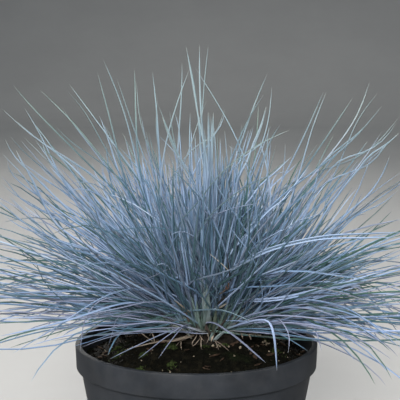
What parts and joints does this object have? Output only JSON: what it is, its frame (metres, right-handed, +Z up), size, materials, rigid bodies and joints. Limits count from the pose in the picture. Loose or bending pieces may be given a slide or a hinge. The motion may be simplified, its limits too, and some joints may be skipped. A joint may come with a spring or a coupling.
{
  "type": "potted blue fescue clump",
  "caption": "Dense hummock of fine, glaucous blue-grey fescue leaves on a low crown, growing from mounded compost in a dark tapered plastic nursery pot with a rim band.",
  "frame": {"origin": "centre of the pot's flat underside, where it rests", "axes": "+Z up, along the pot's axis; -Y is the front, the side that the picture shows; +X is to the right seen from the front"},
  "size_m": [0.4397, 0.4269, 0.3477],
  "materials": {
    "pot_plastic": "matte dark grey moulded plastic with a dusty, slightly paler rim",
    "compost": "moist dark brown peat and bark compost, crumbly",
    "crown": "matted old sheaths, straw and purple-brown, over a woody crown",
    "leaf_blue": "waxy blue-grey bloom on fine rolled leaves, green to straw at the sheath"
  },
  "bodies": {
    "root": {"pot": "pot_plastic", "compost": "compost", "crown": "crown", "leaf_tuft_01": "leaf_blue", "leaf_tuft_02": "leaf_blue", "leaf_tuft_03": "leaf_blue", "leaf_tuft_04": "leaf_blue", "leaf_tuft_05": "leaf_blue", "leaf_tuft_06": "leaf_blue", "leaf_tuft_07": "leaf_blue", "leaf_tuft_08": "leaf_blue", "leaf_tuft_09": "leaf_blue", "leaf_tuft_10": "leaf_blue", "leaf_tuft_11": "leaf_blue", "leaf_tuft_12": "leaf_blue", "leaf_tuft_13": "leaf_blue", "leaf_tuft_14": "leaf_blue", "leaf_tuft_15": "leaf_blue", "leaf_tuft_16": "leaf_blue", "leaf_tuft_17": "leaf_blue", "leaf_tuft_18": "leaf_blue", "leaf_tuft_19": "leaf_blue", "leaf_tuft_20": "leaf_blue", "leaf_tuft_21": "leaf_blue", "leaf_tuft_22": "leaf_blue", "leaf_tuft_23": "leaf_blue", "leaf_tuft_24": "leaf_blue", "leaf_tuft_25": "leaf_blue", "leaf_tuft_26": "leaf_blue", "leaf_tuft_27": "leaf_blue", "leaf_tuft_28": "leaf_blue", "leaf_tuft_29": "leaf_blue", "leaf_tuft_30": "leaf_blue", "leaf_tuft_31": "leaf_blue", "leaf_tuft_32": "leaf_blue", "leaf_tuft_33": "leaf_blue", "leaf_tuft_34": "leaf_blue", "leaf_tuft_35": "leaf_blue", "leaf_tuft_36": "leaf_blue", "leaf_tuft_37": "leaf_blue", "leaf_tuft_38": "leaf_blue", "leaf_tuft_39": "leaf_blue", "leaf_tuft_40": "leaf_blue", "leaf_tuft_41": "leaf_blue", "leaf_tuft_42": "leaf_blue", "leaf_tuft_43": "leaf_blue", "leaf_tuft_44": "leaf_blue", "leaf_tuft_45": "leaf_blue", "leaf_tuft_46": "leaf_blue", "leaf_tuft_47": "leaf_blue", "leaf_tuft_48": "leaf_blue", "leaf_tuft_49": "leaf_blue", "leaf_tuft_50": "leaf_blue"}
  },
  "joints": []
}
